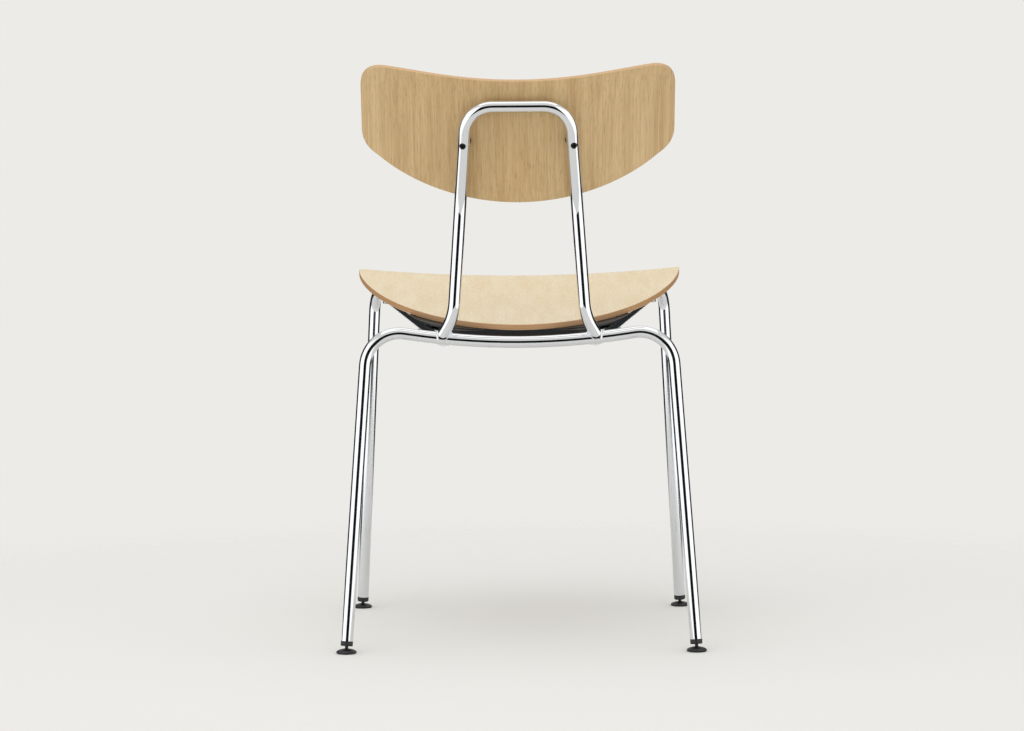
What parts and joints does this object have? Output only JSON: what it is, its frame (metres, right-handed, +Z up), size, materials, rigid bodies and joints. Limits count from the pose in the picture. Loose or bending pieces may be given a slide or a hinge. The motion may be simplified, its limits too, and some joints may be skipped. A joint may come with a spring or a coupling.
{
  "type": "stacking chair",
  "caption": "Armless stacking chair with a bent chrome tube frame, a moulded plywood seat and backrest, and floor glides that tilt on ball ends.",
  "frame": {"origin": "on the floor, below the middle of the chair's bounding box", "axes": "+X to the sitter's left, the sitter faces -Y, +Y to the rear, +Z up"},
  "size_m": [0.4835, 0.481, 0.765],
  "materials": {
    "chrome_tube": "polished chrome plate on bent steel tube",
    "weld": "chrome plate over a weld bead, slightly rippled",
    "oak_ply": "clear-lacquered oak veneer on moulded beech plywood, open satin",
    "black_plastic": "fine-textured moulded plastic",
    "black_screw": "black oxide steel, satin",
    "plain_steel": "zinc-plated steel, satin"
  },
  "bodies": {
    "frame": {"back_loop": "chrome_tube", "rear_leg_tube": "chrome_tube", "front_leg_left": "chrome_tube", "front_leg_right": "chrome_tube", "weld_beads": "weld", "seat": "oak_ply", "backrest": "oak_ply", "rear_support": "black_plastic", "front_support_left": "black_plastic", "front_support_right": "black_plastic", "back_spacer_left": "black_plastic", "back_spacer_right": "black_plastic", "back_screws": "black_screw", "back_inserts": "plain_steel", "seat_screws": "plain_steel", "seat_inserts": "plain_steel", "plug_rear_left": "black_plastic", "plug_rear_right": "black_plastic", "plug_front_left": "black_plastic", "plug_front_right": "black_plastic"},
    "glide_rear_left": {"glide_rear_left": "black_plastic"},
    "glide_rear_right": {"glide_rear_right": "black_plastic"},
    "glide_front_left": {"glide_front_left": "black_plastic"},
    "glide_front_right": {"glide_front_right": "black_plastic"}
  },
  "joints": [
    {"name": "glide_tilt_rear_left", "type": "hinge", "parent": "frame", "child": "glide_rear_left", "pos_m": [0.2285, 0.20653, 0.0042], "axis": [1, 0, 0], "range_deg": [-8, 8]},
    {"name": "glide_tilt_rear_right", "type": "hinge", "parent": "frame", "child": "glide_rear_right", "pos_m": [-0.2285, 0.20653, 0.0042], "axis": [1, 0, 0], "range_deg": [-8, 8]},
    {"name": "glide_tilt_front_left", "type": "hinge", "parent": "frame", "child": "glide_front_left", "pos_m": [0.2285, -0.21346, 0.0042], "axis": [1, 0, 0], "range_deg": [-8, 8]},
    {"name": "glide_tilt_front_right", "type": "hinge", "parent": "frame", "child": "glide_front_right", "pos_m": [-0.2285, -0.21346, 0.0042], "axis": [1, 0, 0], "range_deg": [-8, 8]}
  ]
}
